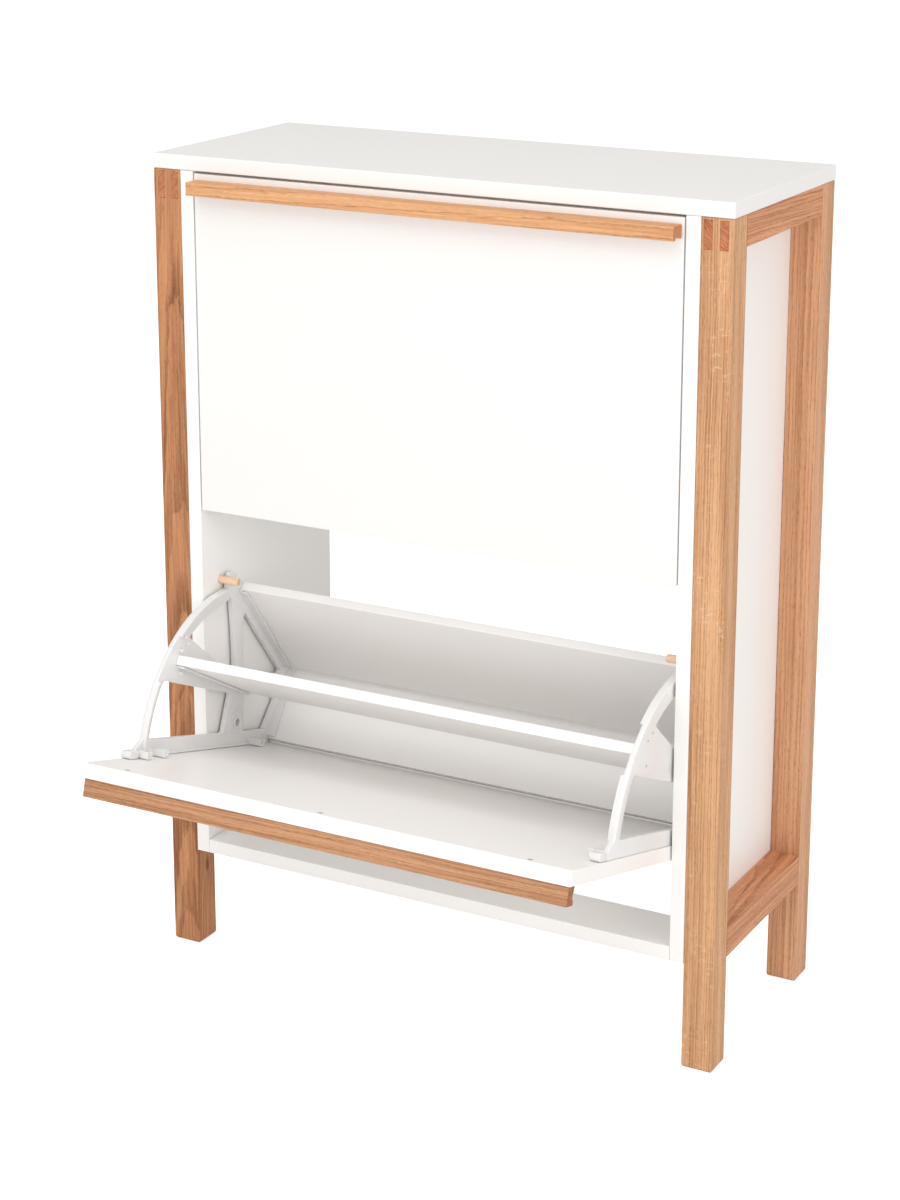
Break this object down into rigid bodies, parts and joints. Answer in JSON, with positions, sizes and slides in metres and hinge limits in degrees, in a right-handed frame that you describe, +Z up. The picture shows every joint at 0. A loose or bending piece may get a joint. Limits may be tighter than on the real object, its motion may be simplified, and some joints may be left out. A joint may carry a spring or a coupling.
{
  "type": "shoe cabinet",
  "caption": "Narrow shoe cabinet with oak side frames, white lacquered panels and tip-out bins one above the other, each with a shelf inside and an oak grip along its top edge.",
  "frame": {"origin": "on the floor, under the middle of the whole object's box with its lower bin open", "axes": "+Z up, +X to the right as seen from the front, and the front faces -Y"},
  "size_m": [0.752, 0.5692, 1.022],
  "materials": {
    "white_lacquer": "satin white lacquer over smooth board",
    "oak": "clear matt oil on solid oak",
    "beech": "untreated turned beech",
    "white_plastic": "satin moulded plastic",
    "steel": "zinc-plated screws and pins"
  },
  "bodies": {
    "root": {"bottom_panel": "white_lacquer", "left_front_lower_dowel": "beech", "left_front_post": "oak", "left_front_upper_dowel": "beech", "left_lower_rail": "oak", "left_rear_lower_dowel": "beech", "left_rear_post": "oak", "left_rear_upper_dowel": "beech", "left_side_panel": "white_lacquer", "left_top_rail": "oak", "lower_left_pivot_pin": "steel", "lower_left_stop_peg": "beech", "lower_right_pivot_pin": "steel", "lower_right_stop_peg": "beech", "rear_stretcher": "white_lacquer", "right_front_lower_dowel": "beech", "right_front_post": "oak", "right_front_upper_dowel": "beech", "right_lower_rail": "oak", "right_rear_lower_dowel": "beech", "right_rear_post": "oak", "right_rear_upper_dowel": "beech", "right_side_panel": "white_lacquer", "right_top_rail": "oak", "top_panel": "white_lacquer", "upper_left_pivot_pin": "steel", "upper_left_stop_peg": "beech", "upper_right_pivot_pin": "steel", "upper_right_stop_peg": "beech"},
    "upper_bin": {"upper_bin_flap": "white_lacquer", "upper_bin_handle": "oak", "upper_bin_handle_screw_1": "steel", "upper_bin_handle_screw_2": "steel", "upper_bin_handle_screw_3": "steel", "upper_bin_high_back_board": "white_lacquer", "upper_bin_left_fitting": "white_plastic", "upper_bin_left_front_screw": "steel", "upper_bin_left_rear_screw": "steel", "upper_bin_low_back_board": "white_lacquer", "upper_bin_middle_shelf": "white_lacquer", "upper_bin_right_fitting": "white_plastic", "upper_bin_right_front_screw": "steel", "upper_bin_right_rear_screw": "steel"},
    "lower_bin": {"lower_bin_flap": "white_lacquer", "lower_bin_handle": "oak", "lower_bin_handle_screw_1": "steel", "lower_bin_handle_screw_2": "steel", "lower_bin_handle_screw_3": "steel", "lower_bin_high_back_board": "white_lacquer", "lower_bin_left_fitting": "white_plastic", "lower_bin_left_front_screw": "steel", "lower_bin_left_rear_screw": "steel", "lower_bin_low_back_board": "white_lacquer", "lower_bin_middle_shelf": "white_lacquer", "lower_bin_right_fitting": "white_plastic", "lower_bin_right_front_screw": "steel", "lower_bin_right_rear_screw": "steel"}
  },
  "joints": [
    {"name": "lower_bin_tilt", "type": "hinge", "parent": "root", "child": "lower_bin", "pos_m": [0, 0.01581, 0.2812], "axis": [1, 0, 0], "range_deg": [-74.5, 0]},
    {"name": "upper_bin_tilt", "type": "hinge", "parent": "root", "child": "upper_bin", "pos_m": [0, 0.01581, 0.7017], "axis": [1, 0, 0], "range_deg": [0, 74.5]}
  ]
}
